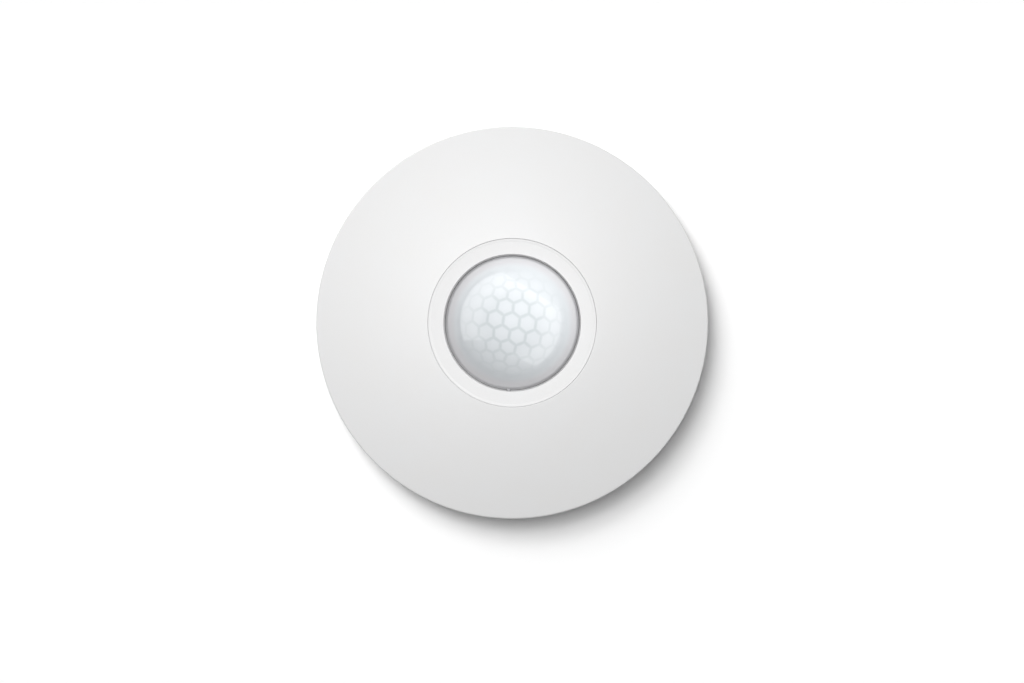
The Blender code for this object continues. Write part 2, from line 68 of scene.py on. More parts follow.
# =====================================================================
# material nodes
# =====================================================================
class Tree:
    """A short way to write a node tree. Coordinates are the object's own, in millimetres."""

    def __init__(self, name):
        self.mat = bpy.data.materials.new(name)
        self.mat.use_nodes = True
        self.t = self.mat.node_tree
        self.shader = self.t.nodes["Principled BSDF"]
        self._mm = None

    def add(self, kind, **props):
        n = self.t.nodes.new(kind)
        for k, v in props.items():
            setattr(n, k, v)
        return n

    def link(self, a, b):
        self.t.links.new(a, b)

    def mm(self):
        if self._mm is None:
            c = self.add("ShaderNodeTexCoord")
            s = self.add("ShaderNodeVectorMath", operation="SCALE")
            s.inputs["Scale"].default_value = 1000.0
            self.link(c.outputs["Object"], s.inputs[0])
            self._mm = s.outputs[0]
        return self._mm

    def stretched(self, x, y, z):
        m = self.add("ShaderNodeVectorMath", operation="MULTIPLY")
        m.inputs[1].default_value = (x, y, z)
        self.link(self.mm(), m.inputs[0])
        return m.outputs[0]

    def noise(self, size, detail=3.0, rough=0.5, vector=None, distortion=0.0):
        """size is the blob size in millimetres."""
        n = self.add("ShaderNodeTexNoise")
        n.inputs["Scale"].default_value = 1.0 / size
        n.inputs["Detail"].default_value = detail
        n.inputs["Roughness"].default_value = rough
        n.inputs["Distortion"].default_value = distortion
        self.link(vector or self.mm(), n.inputs["Vector"])
        return n.outputs["Fac"]

    def remap(self, value, a, b, lo, hi, smooth=False):
        n = self.add("ShaderNodeMapRange")
        n.interpolation_type = "SMOOTHSTEP" if smooth else "LINEAR"
        n.inputs["From Min"].default_value = a
        n.inputs["From Max"].default_value = b
        n.inputs["To Min"].default_value = lo
        n.inputs["To Max"].default_value = hi
        self.link(value, n.inputs["Value"])
        return n.outputs["Result"]

    def math(self, op, a, b=None):
        n = self.add("ShaderNodeMath", operation=op)
        for i, v in enumerate((a, b)):
            if v is None:
                continue
            if isinstance(v, (int, float)):
                n.inputs[i].default_value = v
            else:
                self.link(v, n.inputs[i])
        return n.outputs[0]

    def mix(self, fac, a, b):
        n = self.add("ShaderNodeMix", data_type="RGBA")
        self.link(fac, n.inputs[0]) if not isinstance(fac, float) else setattr(n.inputs[0], "default_value", fac)
        for i, v in ((6, a), (7, b)):
            if isinstance(v, (tuple, list)):
                n.inputs[i].default_value = (*v[:3], 1.0)
            else:
                self.link(v, n.inputs[i])
        return n.outputs[2]

    def bump(self, height, microns, normal=None, strength=1.0):
        n = self.add("ShaderNodeBump")
        n.inputs["Strength"].default_value = strength
        n.inputs["Distance"].default_value = microns * 1e-6
        self.link(height, n.inputs["Height"])
        if normal is not None:
            self.link(normal, n.inputs["Normal"])
        return n.outputs["Normal"]

    def set(self, name, value):
        self.shader.inputs[name].default_value = value

    def into(self, name, socket):
        self.link(socket, self.shader.inputs[name])


def tint(c, k):
    return tuple(min(1.0, v * k) for v in c)


def moulded(name, base, rough, spread=0.015, grain=0.16, depth=2.0, ior=1.46, warm=0.004):
    """Moulded plastic: cloudy colour, spark-eroded grain, a few flow marks, uneven gloss."""
    t = Tree(name)
    cloud = t.noise(9.0, 4.0, 0.55)
    fine = t.noise(0.8, 3.0, 0.6)
    both = t.math("ADD", t.math("MULTIPLY", cloud, 0.7), t.math("MULTIPLY", fine, 0.3))
    fac = t.remap(both, 0.30, 0.70, 0.0, 1.0)
    lo = (base[0] * (1 - spread) * (1 + warm), base[1] * (1 - spread), base[2] * (1 - spread) * (1 - warm))
    hi = (base[0] * (1 + spread) * (1 - warm), base[1] * (1 + spread), base[2] * (1 + spread) * (1 + warm))
    t.into("Base Color", t.mix(fac, lo, tuple(min(1.0, v) for v in hi)))
    grain_n = t.noise(grain, 2.0, 0.6)
    gloss = t.noise(3.5, 3.0, 0.5)
    t.into("Roughness", t.math("ADD", t.remap(gloss, 0.3, 0.7, rough - 0.04, rough + 0.04),
                               t.remap(grain_n, 0.3, 0.7, -0.03, 0.03)))
    swell = t.noise(22.0, 1.0, 0.5)
    n1 = t.bump(grain_n, depth)
    t.into("Normal", t.bump(swell, 14.0, n1))
    t.set("IOR", ior)
    return t.mat


def metal(name, base, rough, brush=(1.0, 1.0, 12.0), spread=0.10, plate=False):
    """Plated or drawn metal: brushed streaks, slight tarnish, fine scratches."""
    t = Tree(name)
    streak = t.noise(0.5, 3.0, 0.6, t.stretched(*brush))
    tarnish = t.noise(2.6, 4.0, 0.6)
    fac = t.remap(t.math("ADD", t.math("MULTIPLY", streak, 0.5), t.math("MULTIPLY", tarnish, 0.5)), 0.35, 0.65, 0, 1)
    t.into("Base Color", t.mix(fac, tint(base, 1 - spread), tint(base, 1 + spread * 0.6)))
    t.into("Roughness", t.remap(streak, 0.3, 0.7, rough - 0.07, rough + 0.09))
    t.set("Metallic", 1.0)
    scratch = t.noise(0.12, 2.0, 0.7, t.stretched(*brush))
    t.into("Normal", t.bump(scratch, 0.8))
    return t.mat


# =====================================================================
# mesh helpers (all lengths in millimetres until the mesh is made)
# =====================================================================
def mesh_object(name, bm, mats, smooth_angle=32.0, recalc=True):
    if recalc:
        bmesh.ops.recalc_face_normals(bm, faces=bm.faces)
    mesh = bpy.data.meshes.new(name)
    bm.to_mesh(mesh)
    bm.free()
    for m in (mats if isinstance(mats, (list, tuple)) else [mats]):
        mesh.materials.append(m)
    obj = bpy.data.objects.new(name, mesh)
    COLLECTION.objects.link(obj)
    if smooth_angle:
        mesh.shade_smooth()
        mesh.set_sharp_from_angle(angle=math.radians(smooth_angle))
    return obj


def rounded(points, closed=True, step=9.0, hold=0.05):
    """A profile of (r, z) or (r, z, fillet) points with its corners rounded.

    Beside each arc there is a point on the straight run, which keeps flat faces flat.
    """
    n = len(points)
    out = []
    for i, p in enumerate(points):
        here = Vector(p[:2])
        radius = p[2] if len(p) > 2 else 0.0
        if radius <= 0 or (not closed and i in (0, n - 1)):
            out.append((here.x, here.y))
            continue
        a = Vector(points[i - 1][:2]) - here
        b = Vector(points[(i + 1) % n][:2]) - here
        la, lb = a.length, b.length
        a.normalize()
        b.normalize()
        dot = max(-1.0, min(1.0, a.dot(b)))
        inner = math.acos(dot)
        if inner > math.pi - 0.01:
            out.append((here.x, here.y))
            continue
        t = min(radius / math.tan(inner / 2), 0.46 * la, 0.46 * lb)
        radius = t * math.tan(inner / 2)
        centre = here + (a + b).normalized() * (radius / math.sin(inner / 2))
        start, end = here + a * t, here + b * t
        if la > 2.3 * t + hold:
            s = here + a * (t + hold)
            out.append((s.x, s.y))
        v0, v1 = start - centre, end - centre
        turn = math.pi - inner
        sign = 1.0 if v0.x * v1.y - v0.y * v1.x > 0 else -1.0
        k = max(2, int(math.ceil(math.degrees(turn) / step)))
        for j in range(k + 1):
            q = sign * turn * j / k
            c, s_ = math.cos(q), math.sin(q)
            out.append((centre.x + v0.x * c - v0.y * s_, centre.y + v0.x * s_ + v0.y * c))
        if lb > 2.3 * t + hold:
            s = here + b * (t + hold)
            out.append((s.x, s.y))
    return out


def lathe_bm(profile, steps, closed=True, centre=(0.0, 0.0), a0=0.0, a1=360.0):
    """Rings of vertices about a vertical line, joined by quads. A part turn gets its end faces."""
    bm = bmesh.new()
    cx, cy = centre
    whole = abs(a1 - a0) > 359.999
    count = steps if whole else steps + 1
    rings = []
    for r, z in profile:
        if r < 1e-7:
            rings.append([bm.verts.new((cx * MM, cy * MM, z * MM))])
        else:
            ring = []
            for i in range(count):
                a = math.radians(a0 + (a1 - a0) * i / steps)
                ring.append(bm.verts.new(((cx + r * math.cos(a)) * MM, (cy + r * math.sin(a)) * MM, z * MM)))
            rings.append(ring)
    pairs = list(zip(rings, rings[1:]))
    if closed:
        pairs.append((rings[-1], rings[0]))
    for p, q in pairs:
        for i in range(steps):
            j = (i + 1) % count
            if len(p) == 1 and len(q) == 1:
                continue
            if len(p) == 1:
                bm.faces.new((p[0], q[j], q[i]))
            elif len(q) == 1:
                bm.faces.new((p[i], p[j], q[0]))
            else:
                bm.faces.new((p[i], p[j], q[j], q[i]))
    if not whole:
        bm.faces.new([r[0] for r in rings])
        bm.faces.new([r[-1] for r in rings])
    return bm


def lathe(name, profile, steps, mats, closed=True, centre=(0.0, 0.0), a0=0.0, a1=360.0):
    return mesh_object(name, lathe_bm(profile, steps, closed, centre, a0, a1), mats)


def disc_bm(r, z0, z1, steps, centre=(0.0, 0.0), edge=0.0):
    pts = [(0, z1), (r, z1, edge), (r, z0, edge), (0, z0)] if edge else [(0, z1), (r, z1), (r, z0), (0, z0)]
    return lathe_bm(rounded(pts, closed=False) if edge else pts, steps, False, centre)


def prism_bm(outline, z0, z1):
    bm = bmesh.new()
    lo = [bm.verts.new((x * MM, y * MM, z0 * MM)) for x, y in outline]
    hi = [bm.verts.new((x * MM, y * MM, z1 * MM)) for x, y in outline]
    n = len(outline)
    bm.faces.new(lo[::-1])
    bm.faces.new(hi)
    for i in range(n):
        j = (i + 1) % n
        bm.faces.new((lo[i], lo[j], hi[j], hi[i]))
    return bm


def block_bm(x0, x1, y0, y1, z0, z1, edge=0.0, segments=3):
    bm = prism_bm([(x0, y0), (x1, y0), (x1, y1), (x0, y1)], z0, z1)
    if edge:
        bmesh.ops.bevel(bm, geom=list(bm.edges), offset=edge * MM, segments=segments, affect="EDGES", profile=0.5)
    return bm


def slot_outline(r, half, a0, a1, steps=24, cap=14):
    a0, a1 = math.radians(a0), math.radians(a1)
    pts = []
    for i in range(steps + 1):
        a = a0 + (a1 - a0) * i / steps
        pts.append(((r + half) * math.cos(a), (r + half) * math.sin(a)))
    for i in range(1, cap):
        b = a1 + math.pi * i / cap
        pts.append((r * math.cos(a1) + half * math.cos(b), r * math.sin(a1) + half * math.sin(b)))
    for i in range(steps + 1):
        a = a1 + (a0 - a1) * i / steps
        pts.append(((r - half) * math.cos(a), (r - half) * math.sin(a)))
    for i in range(1, cap):
        b = a0 + math.pi + math.pi * i / cap
        pts.append((r * math.cos(a0) + half * math.cos(b), r * math.sin(a0) + half * math.sin(b)))
    return pts


def shape(obj, steps, smooth_angle=32.0):
    """Applies a list of (operation, bmesh) Booleans to obj and bakes the result into its mesh."""
    tools = []
    for i, (op, bm) in enumerate(steps):
        bmesh.ops.recalc_face_normals(bm, faces=bm.faces)
        mesh = bpy.data.meshes.new("tool")
        bm.to_mesh(mesh)
        bm.free()
        tool = bpy.data.objects.new("tool_%s_%d" % (obj.name, i), mesh)
        COLLECTION.objects.link(tool)
        tools.append(tool)
        mod = obj.modifiers.new("b%d" % i, "BOOLEAN")
        mod.operation = op
        mod.solver = "EXACT"
        mod.object = tool
    bpy.context.view_layer.update()
    result = bpy.data.meshes.new_from_object(obj.evaluated_get(bpy.context.evaluated_depsgraph_get()))
    obj.modifiers.clear()
    old = obj.data
    obj.data = result
    bpy.data.meshes.remove(old)
    for tool in tools:
        mesh = tool.data
        bpy.data.objects.remove(tool)
        bpy.data.meshes.remove(mesh)
    bm = bmesh.new()
    bm.from_mesh(obj.data)
    bmesh.ops.remove_doubles(bm, verts=bm.verts, dist=1e-7)
    bm.to_mesh(obj.data)
    bm.free()
    obj.data.name = obj.name
    obj.data.shade_smooth()
    obj.data.set_sharp_from_angle(angle=math.radians(smooth_angle))
    return obj


CUT, ADD = "DIFFERENCE", "UNION"


def stands_for(obj, node):
    """The piece rides on the body of the CAD node that it replaces."""
    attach(obj, BODY_OF[node])
    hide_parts(node)
    return obj


BODY_OF = {n: body for body, nodes in frame["record"]["behaviour"]["bodies"].items() for n in nodes}
SLOT_OF = {s["node"]: s["material_slot"] for s in frame["record"]["subparts"]}

# =====================================================================
# materials
# =====================================================================
COVER_MAT = moulded("cover_plastic", (0.80, 0.80, 0.80), 0.46, spread=0.006, grain=0.20, depth=1.2)
COLLAR_MAT = moulded("collar_plastic", (0.765, 0.765, 0.765), 0.40, spread=0.005, grain=0.16, depth=0.8)
HOUSING_MAT = moulded("housing_plastic", (0.76, 0.76, 0.75), 0.52, spread=0.02, grain=0.22, depth=3.0)
PLATE_MAT = moulded("plate_plastic", (0.75, 0.75, 0.74), 0.54, spread=0.02, grain=0.24, depth=4.0)
DOOR_MAT = moulded("door_plastic", (0.78, 0.78, 0.77), 0.48, spread=0.015, grain=0.20, depth=3.0)
BLACK_MAT = moulded("black_plastic", (0.022, 0.022, 0.025), 0.42, spread=0.12, grain=0.12, depth=3.0)
CHIP_MAT = moulded("chip_epoxy", (0.020, 0.020, 0.022), 0.58, spread=0.15, grain=0.05, depth=4.0)
BUTTON_MAT = moulded("button_plastic", (0.42, 0.43, 0.44), 0.45, spread=0.04, grain=0.12, depth=3.0)
SLIDER_MAT = moulded("slider_plastic", (0.84, 0.84, 0.82), 0.40, spread=0.03, grain=0.10, depth=2.0)
RED_MAT = moulded("switch_red", (0.50, 0.025, 0.022), 0.38, spread=0.08, grain=0.12, depth=2.5)
NICKEL_MAT = metal("nickel_plate", (0.70, 0.68, 0.64), 0.28, (1.0, 1.0, 9.0))
CELL_MAT = metal("cell_steel", (0.74, 0.73, 0.71), 0.24, (0.25, 4.0, 4.0), spread=0.06)
ZINC_MAT = metal("screw_zinc", (0.64, 0.65, 0.67), 0.32, (1.0, 1.0, 0.4), spread=0.12)
SPRING_MAT = metal("spring_steel", (0.56, 0.56, 0.57), 0.26, (3.0, 3.0, 3.0))
GOLD_MAT = metal("lead_gold", (0.92, 0.70, 0.30), 0.24, (2.0, 2.0, 0.5), spread=0.06)
ALU_MAT = metal("capacitor_can", (0.62, 0.63, 0.65), 0.30, (4.0, 4.0, 0.3))


def foam_material():
    t = Tree("gasket_foam")
    v = t.add("ShaderNodeTexVoronoi")
    v.inputs["Scale"].default_value = 3.2
    t.link(t.mm(), v.inputs["Vector"])
    cell = t.remap(v.outputs["Distance"], 0.0, 0.7, 1.0, 0.0)
    t.into("Base Color", t.mix(t.math("MULTIPLY", cell, t.noise(0.6, 3.0)), (0.020, 0.020, 0.022), (0.075, 0.075, 0.080)))
    t.into("Roughness", t.remap(cell, 0, 1, 0.95, 0.82))
    t.into("Normal", t.bump(v.outputs["Distance"], 60.0))
    return t.mat


def board_material():
    """Green solder mask: rounded copper runs, pads with bright rings, a faint glass weave."""
    t = Tree("board_laminate")
    big = t.add("ShaderNodeTexVoronoi", feature="DISTANCE_TO_EDGE", distance="EUCLIDEAN")
    big.inputs["Scale"].default_value = 0.22
    big.inputs["Randomness"].default_value = 0.35
    t.link(t.mm(), big.inputs["Vector"])
    runs = t.add("ShaderNodeTexWave", wave_type="BANDS", bands_direction="DIAGONAL")
    runs.inputs["Scale"].default_value = 0.22
    runs.inputs["Distortion"].default_value = 0.0
    t.link(t.mm(), runs.inputs["Vector"])
    track = t.remap(runs.outputs["Fac"], 0.62, 0.70, 0.0, 1.0, smooth=True)
    island = t.remap(big.outputs["Distance"], 0.06, 0.09, 0.0, 1.0, smooth=True)
    copper = t.math("MULTIPLY", track, island)
    weave = t.noise(0.35, 2.0, 0.6, t.stretched(3.0, 0.6, 1.0))
    base = t.mix(t.remap(weave, 0.3, 0.7, 0, 1), (0.012, 0.115, 0.045), (0.018, 0.150, 0.060))
    masked = t.mix(copper, base, (0.045, 0.235, 0.085))
    dots = t.add("ShaderNodeTexVoronoi")
    dots.inputs["Scale"].default_value = 0.30
    dots.inputs["Randomness"].default_value = 0.8
    t.link(t.stretched(1.0, 1.0, 0.0), dots.inputs["Vector"])
    via = t.remap(dots.outputs["Distance"], 0.085, 0.10, 1.0, 0.0, smooth=True)
    t.into("Base Color", t.mix(via, masked, (0.62, 0.60, 0.52)))
    t.into("Metallic", t.math("MULTIPLY", via, 0.9))
    t.into("Roughness", t.remap(weave, 0.3, 0.7, 0.26, 0.36))
    t.into("Normal", t.bump(t.math("ADD", copper, t.math("MULTIPLY", via, 0.6)), 35.0))
    return t.mat


def silicon_material():
    t = Tree("filter_silicon")
    streak = t.noise(1.6, 2.0)
    t.into("Base Color", t.mix(streak, (0.035, 0.036, 0.042), (0.085, 0.082, 0.095)))
    t.into("Roughness", t.remap(t.noise(0.4, 2.0), 0.3, 0.7, 0.06, 0.14))
    t.set("Metallic", 0.7)
    return t.mat


def ferrite_material():
    t = Tree("ferrite")
    n = t.noise(0.18, 4.0, 0.7)
    t.into("Base Color", t.mix(t.remap(n, 0.3, 0.7, 0, 1), (0.050, 0.050, 0.052), (0.140, 0.138, 0.135)))
    t.into("Roughness", t.remap(n, 0.3, 0.7, 0.55, 0.72))
    t.into("Normal", t.bump(n, 12.0))
    return t.mat


def resin_material():
    t = Tree("led_resin")
    n = t.noise(0.5, 2.0)
    t.into("Base Color", t.mix(n, (0.88, 0.87, 0.78), (0.80, 0.82, 0.80)))
    t.into("Roughness", t.remap(n, 0.3, 0.7, 0.10, 0.20))
    t.set("Subsurface Weight", 0.3)
    t.set("Subsurface Scale", 0.0008)
    return t.mat


FOAM_MAT = foam_material()
BOARD_MAT = board_material()
SILICON_MAT = silicon_material()
FERRITE_MAT = ferrite_material()
RESIN_MAT = resin_material()

LENS_CELL = (0.800, 0.836, 0.864)
LENS_LINE = (0.655, 0.703, 0.722)
# plain lens colour below the cells, greyer than the cells: partly the real plain band, partly painted reflection of
# the floor near the limb
LENS_PLAIN_GREY_PAINTED_REFLECTION = (0.780, 0.778, 0.802)


def lens_material():
    """Milky lens plastic. The mesh carries each point's distance, in millimetres, to the nearest cell wall."""
    t = Tree("lens_plastic")
    edge = t.add("ShaderNodeAttribute", attribute_name="wall_mm").outputs["Fac"]
    wobble = t.remap(t.noise(0.7, 2.0), 0.3, 0.7, -0.03, 0.03)
    edge = t.math("ADD", edge, wobble)
    line = t.remap(edge, 0.08, 0.60, 1.0, 0.0, smooth=True)
    # the grooves are on the inside, and show less and less through the slanting wall near the foot
    split = t.add("ShaderNodeSeparateXYZ")
    t.link(t.mm(), split.inputs[0])
    height = split.outputs["Z"]
    cells_vs_plain_reflection_grey = t.remap(height, 19.0, 22.0, 0.0, 1.0, smooth=True)
    line = t.math("MULTIPLY", line, t.math("POWER", t.remap(height, 20.8, 27.7, 0.0, 1.0), 1.7))
    centre = t.remap(edge, 0.5, 1.9, 0.0, 1.0, smooth=True)
    cloud = t.remap(t.noise(3.0, 3.0), 0.3, 0.7, 0.0, 1.0)
    cell = t.mix(centre, tint(LENS_CELL, 0.982), LENS_CELL)
    cell = t.mix(t.math("MULTIPLY", cloud, 0.35), cell, tint(LENS_CELL, 0.985))
    ribbed = t.mix(line, cell, LENS_LINE)
    # below the cells the lens is plain; its greyer colour there also paints the floor's reflection near the limb
    colour = t.mix(cells_vs_plain_reflection_grey, LENS_PLAIN_GREY_PAINTED_REFLECTION, ribbed)
    # painted shade: the base colour is darker near the foot, where the wall goes down into the collar
    foot = t.remap(height, 16.2, 18.0, 1.0, 0.0, smooth=True)
    t.into("Base Color", t.mix(foot, colour, tint(LENS_PLAIN_GREY_PAINTED_REFLECTION, 0.86)))
    t.into("Roughness", t.remap(t.noise(2.2, 3.0), 0.3, 0.7, 0.022, 0.040))
    t.set("IOR", 1.50)
    t.into("Normal", t.bump(t.noise(5.0, 1.0), 0.8))
    return t.mat


LENS_MAT = lens_material()

# =====================================================================
# front cover
# =====================================================================
COVER_R, COVER_WALL = 45.5, 1.8
RIM_Z, TOP_Z, CROWN = 9.97, 16.3, 0.35
OPENING_R, COLLAR_R = 19.52, 19.47
BORE_R, LEDGE_R, LEDGE_Z = 15.87, 15.57, 14.4
HOUSING_SCREWS = (65.0, 155.0, 290.0)
BOARD_SCREWS = (45.0, 115.0, 245.0)
RETAINER_SCREWS = (20.0, 140.0, 260.0)


def cone_z(r):
    t = (44.6 - r) / (44.6 - 19.95)
    return RIM_Z + (TOP_Z - 0.02 - RIM_Z) * t + CROWN * 4.0 * t * (1.0 - t)


def cover_profile():
    pts = [(COVER_R - COVER_WALL, 0.8, 0.25), (COVER_R, 0.8, 0.35), (COVER_R, cone_z(COVER_R), 0.5)]
    n = 26
    for i in range(n + 1):
        r = 44.3 + (20.1 - 44.3) * i / n
        pts.append((r, cone_z(r)))
    pts += [(OPENING_R, cone_z(OPENING_R), 0.12), (OPENING_R, 14.5, 0.15), (22.6, 14.5)]
    for i in range(13):
        r = 24.0 + (42.4 - 24.0) * i / 12
        pts.append((r, cone_z(r + 0.4) - COVER_WALL))
    pts += [(COVER_R - COVER_WALL, 8.15, 0.9)]
    return rounded(pts)


cover = lathe("front_cover_shell", cover_profile(), 288, COVER_MAT)
steps = []
for a in HOUSING_SCREWS:
    c = polar(39.0, a)
    steps.append((ADD, disc_bm(2.6, 5.3, 10.4, 40, c)))
for a in HOUSING_SCREWS:
    c = polar(39.0, a)
    steps.append((CUT, disc_bm(1.3, 4.0, 9.4, 28, c)))
shape(cover, steps)
stands_for(cover, "front_cover")

# =====================================================================
# lens collar
# =====================================================================
collar_pts = [(BORE_R, TOP_Z - 0.10, 0.12),
              (18.76, TOP_Z - 0.10, 0.3), (19.18, TOP_Z, 0.12), (COLLAR_R, TOP_Z, 0.10), (COLLAR_R, 14.2, 0.12), (22.3, 14.2, 0.2), (22.3, 12.9, 0.2), (21.9, 12.5),
              (21.9, 10.6, 0.2), (18.9, 10.6, 0.2), (18.9, 13.0, 0.1), (BORE_R, 13.0, 0.1)]
# it sits a hair off the middle, so the joint is wider on one side
collar = lathe("lens_collar_ring", rounded(collar_pts), 240, COLLAR_MAT, centre=polar(0.022, 205.0))
RIB_ANGLE = 266.8
rib_turn = Matrix.Rotation(math.radians(RIB_ANGLE), 4, "Z")
shape(collar, [(CUT, disc_bm(1.0, 9.0, 12.6, 24, polar(20.4, a))) for a in RETAINER_SCREWS])
stands_for(collar, "lens_collar")

# the step inside its bore that closes the gap around the dome
ledge = lathe("lens_collar_ledge", rounded([(LEDGE_R, LEDGE_Z, 0.03), (BORE_R + 0.05, LEDGE_Z), (BORE_R + 0.05, 13.3),
                                            (LEDGE_R, 13.5, 0.03)]), 240, COLLAR_MAT)
notch = block_bm(15.2, 15.83, -0.45, 0.45, 13.0, 14.5)
bmesh.ops.transform(notch, matrix=rib_turn, verts=notch.verts)
shape(ledge, [(CUT, notch)])
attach(ledge, "head")

# =====================================================================
# dome lens: a ball of hexagons and pentagons, as on the moulding
# =====================================================================
LENS_R, LENS_WALL, LENS_Z = 15.6, 0.8, 12.7
HONEYCOMB = (3, 3)                       # steps between neighbouring pentagons
HONEYCOMB_TURN = (-3.155, 0.219, -0.213)  # how the ball sits in the dome, as a rotation vector


def icosahedron():
    phi = (1.0 + math.sqrt(5.0)) / 2.0
    corners = []
    for a in (-1, 1):
        for b in (-phi, phi):
            corners += [Vector((0, a, b)).normalized(), Vector((a, b, 0)).normalized(), Vector((b, 0, a)).normalized()]
    side = min((p - q).length for i, p in enumerate(corners) for q in corners[i + 1:])
    near = [[j for j in range(12) if j != i and (corners[i] - corners[j]).length < side * 1.01] for i in range(12)]
    tris = []
    for i in range(12):
        for j in near[i]:
            for k in near[j]:
                if i < j < k and k in near[i]:
                    p, q, r = corners[i], corners[j], corners[k]
                    tris.append((i, j, k) if (q - p).cross(r - p).dot(p) > 0 else (i, k, j))
    return corners, tris


def honeycomb_centres(h, k):
    """Centres of the cells: a triangular lattice laid on the faces of an icosahedron."""
    corners, tris = icosahedron()
    a1, a2 = Vector((1.0, 0.0)), Vector((0.5, math.sqrt(3.0) / 2.0))
    b = h * a1 + k * a2
    c = Vector((0.5 * b.x - math.sqrt(3.0) / 2.0 * b.y, math.sqrt(3.0) / 2.0 * b.x + 0.5 * b.y))
    det = b.x * c.y - b.y * c.x
    found = {}
    for tri in tris:
        p0, p1, p2 = (corners[i] for i in tri)
        for i in range(-12, 13):
            for j in range(-12, 13):
                p = i * a1 + j * a2
                u = (p.x * c.y - p.y * c.x) / det
                v = (b.x * p.y - b.y * p.x) / det
                w = 1.0 - u - v
                if min(u, v, w) > -1e-6:
                    q = (w * p0 + u * p1 + v * p2).normalized()
                    found.setdefault((round(q.x, 4) + 0.0, round(q.y, 4) + 0.0, round(q.z, 4) + 0.0), q)
    kept = []
    for q in found.values():
        if all((q - o).length > 0.02 for o in kept):
            kept.append(q)
    return kept


def dome():
    turn = Vector(HONEYCOMB_TURN)
    spin = Quaternion(turn.normalized(), turn.length)
    centres = [spin @ q for q in honeycomb_centres(*HONEYCOMB)]
    hull = bmesh.new()
    for q in centres:
        hull.verts.new(q)
    bmesh.ops.convex_hull(hull, input=hull.verts)
    bmesh.ops.recalc_face_normals(hull, faces=hull.faces)
    hull.verts.ensure_lookup_table()
    hull.faces.ensure_lookup_table()
    hull.faces.index_update()
    corner = [f.normal.copy() if f.normal.dot(f.calc_center_median()) > 0 else -f.normal for f in hull.faces]

    bm = bmesh.new()
    wall = bm.verts.layers.float.new("wall_mm")
    corner_vert = [bm.verts.new(c) for c in corner]
    edge_verts = {}
    m = 5

    def along(i, j):
        key = (min(i, j), max(i, j))
        if key not in edge_verts:
            p, q = corner[key[0]], corner[key[1]]
            edge_verts[key] = [corner_vert[key[0]]] + [bm.verts.new(p.lerp(q, s / m).normalized()) for s in range(1, m)] \
                + [corner_vert[key[1]]]
        run = edge_verts[key]
        return run if key[0] == i else run[::-1]

    scales = (0.965, 0.93, 0.89, 0.84, 0.74, 0.58, 0.40, 0.20)
    for v in hull.verts:
        if v.co.z < -0.28:
            continue
        c = v.co.normalized()
        x = c.orthogonal().normalized()
        y = c.cross(x)
        around = sorted((f.index for f in v.link_faces),
                        key=lambda i: math.atan2(corner[i].dot(y), corner[i].dot(x)))
        ring, apothem = [], []
        n = len(around)
        for s in range(n):
            i, j = around[s], around[(s + 1) % n]
            run = along(i, j)
            mid = (corner[i] + corner[j]).normalized()
            prev = (corner[around[s - 1]] + corner[i]).normalized()
            a_here = c.angle(mid) * LENS_R
            a_prev = c.angle(prev) * LENS_R
            ring += run[:-1]
            apothem += [(a_here + a_prev) / 2] + [a_here] * (m - 1)
        outer = ring
        for s in scales:
            inner = []
            for p, a in zip(ring, apothem):
                q = bm.verts.new((c + (p.co.normalized() - c) * s).normalized())
                q[wall] = a * (1.0 - s)
                inner.append(q)
            for i in range(len(ring)):
                j = (i + 1) % len(ring)
                bm.faces.new((outer[i], outer[j], inner[j], inner[i]))
            outer = inner
        tip = bm.verts.new(c)
        tip[wall] = sum(apothem) / len(apothem)
        for i in range(len(ring)):
            bm.faces.new((outer[i], outer[(i + 1) % len(ring)], tip))
    hull.free()
    bmesh.ops.bisect_plane(bm, geom=list(bm.verts) + list(bm.edges) + list(bm.faces), dist=1e-6,
                           plane_co=(0, 0, 0), plane_no=(0, 0, 1), clear_inner=True)
    bmesh.ops.remove_doubles(bm, verts=bm.verts, dist=1e-5)
    loose = [v for v in bm.verts if not v.link_faces]
    if loose:
        bmesh.ops.delete(bm, geom=loose, context="VERTS")
    for v in bm.verts:
        if any(e.is_boundary for e in v.link_edges):
            v.co.z = 0.0
        v.co.normalize()
    foot = sorted((v for v in bm.verts if any(e.is_boundary for e in v.link_edges)),
                  key=lambda v: math.atan2(v.co.y, v.co.x))
    shell_faces = list(bm.faces)
    # the inside: each cell is a small lens between grooves
    inner_of = {}
    for v in list(bm.verts):
        bulge = 0.0 if any(e.is_boundary for e in v.link_edges) else 1.0
        depth = min(v[wall], 1.9) / 1.9
        r = (LENS_R - LENS_WALL) + bulge * (0.22 * (1.0 - depth) ** 2 - 0.10 * depth)
        q = bm.verts.new(v.co * r)
        q[wall] = v[wall]
        inner_of[v] = q
    outward = Vector((0, 0, 1))
    for f in shell_faces:
        bm.faces.new([inner_of[v] for v in reversed(f.verts)])
    outers = [v for v in inner_of]
    for v in outers:
        v.co = v.co * LENS_R
    # the flange, as rings that follow the foot of the dome
    flange = rounded([(LENS_R, 0.0), (LENS_R + 0.001, -0.001), (18.6, 0.0, 0.15), (18.6, -1.0, 0.15),
                      (LENS_R - LENS_WALL, -1.0, 0.15), (LENS_R - LENS_WALL, 0.0)], closed=False)[2:-1]
    angles = [math.atan2(v.co.y, v.co.x) for v in foot]
    last = foot
    for r, z in flange:
        ring = []
        for a in angles:
            q = bm.verts.new((r * math.cos(a), r * math.sin(a), z))
            q[wall] = 2.0
            ring.append(q)
        for i in range(len(ring)):
            j = (i + 1) % len(ring)
            bm.faces.new((last[i], last[j], ring[j], ring[i]))
        last = ring
    inner_foot = [inner_of[v] for v in foot]
    for i in range(len(last)):
        j = (i + 1) % len(last)
        bm.faces.new((last[i], last[j], inner_foot[j], inner_foot[i]))
    for v in bm.verts:
        v.co = Vector((v.co.x * MM, v.co.y * MM, (v.co.z + LENS_Z) * MM))
    obj = mesh_object("dome_lens_shell", bm, LENS_MAT, smooth_angle=40.0)
    return obj


lens = dome()
